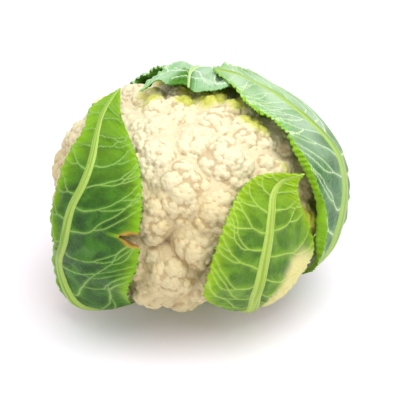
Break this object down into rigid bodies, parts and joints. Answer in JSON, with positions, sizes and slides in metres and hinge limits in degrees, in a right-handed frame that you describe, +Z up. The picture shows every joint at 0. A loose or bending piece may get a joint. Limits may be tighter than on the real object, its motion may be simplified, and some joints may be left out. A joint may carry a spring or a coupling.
{
  "type": "cauliflower",
  "caption": "Whole cauliflower head: a domed curd of packed florets on a cut stem, wrapped by folded green leaves with pale ribs.",
  "frame": {"origin": "middle of the cut stem's flat face, which stands on the surface", "axes": "+Z up through the crown, -Y towards the side the picture was taken from, +X to that viewer's right"},
  "size_m": [0.1827, 0.1798, 0.1354],
  "materials": {
    "curd": "matte, cream buds with tan creases",
    "stem": "waxy pale green with a drier cut face",
    "leaf_left": "waxy green with pale veins and yellow-green margin",
    "leaf_front": "waxy yellow-green with pale veins, blanched at the lower right",
    "leaf_right": "bloomed blue-green with pale veins",
    "leaf_back": "bloomed blue-green with pale veins"
  },
  "bodies": {
    "root": {"curd": "curd", "stem": "stem", "leaf_left": "leaf_left", "leaf_front": "leaf_front", "leaf_right": "leaf_right", "leaf_back": "leaf_back"}
  },
  "joints": []
}
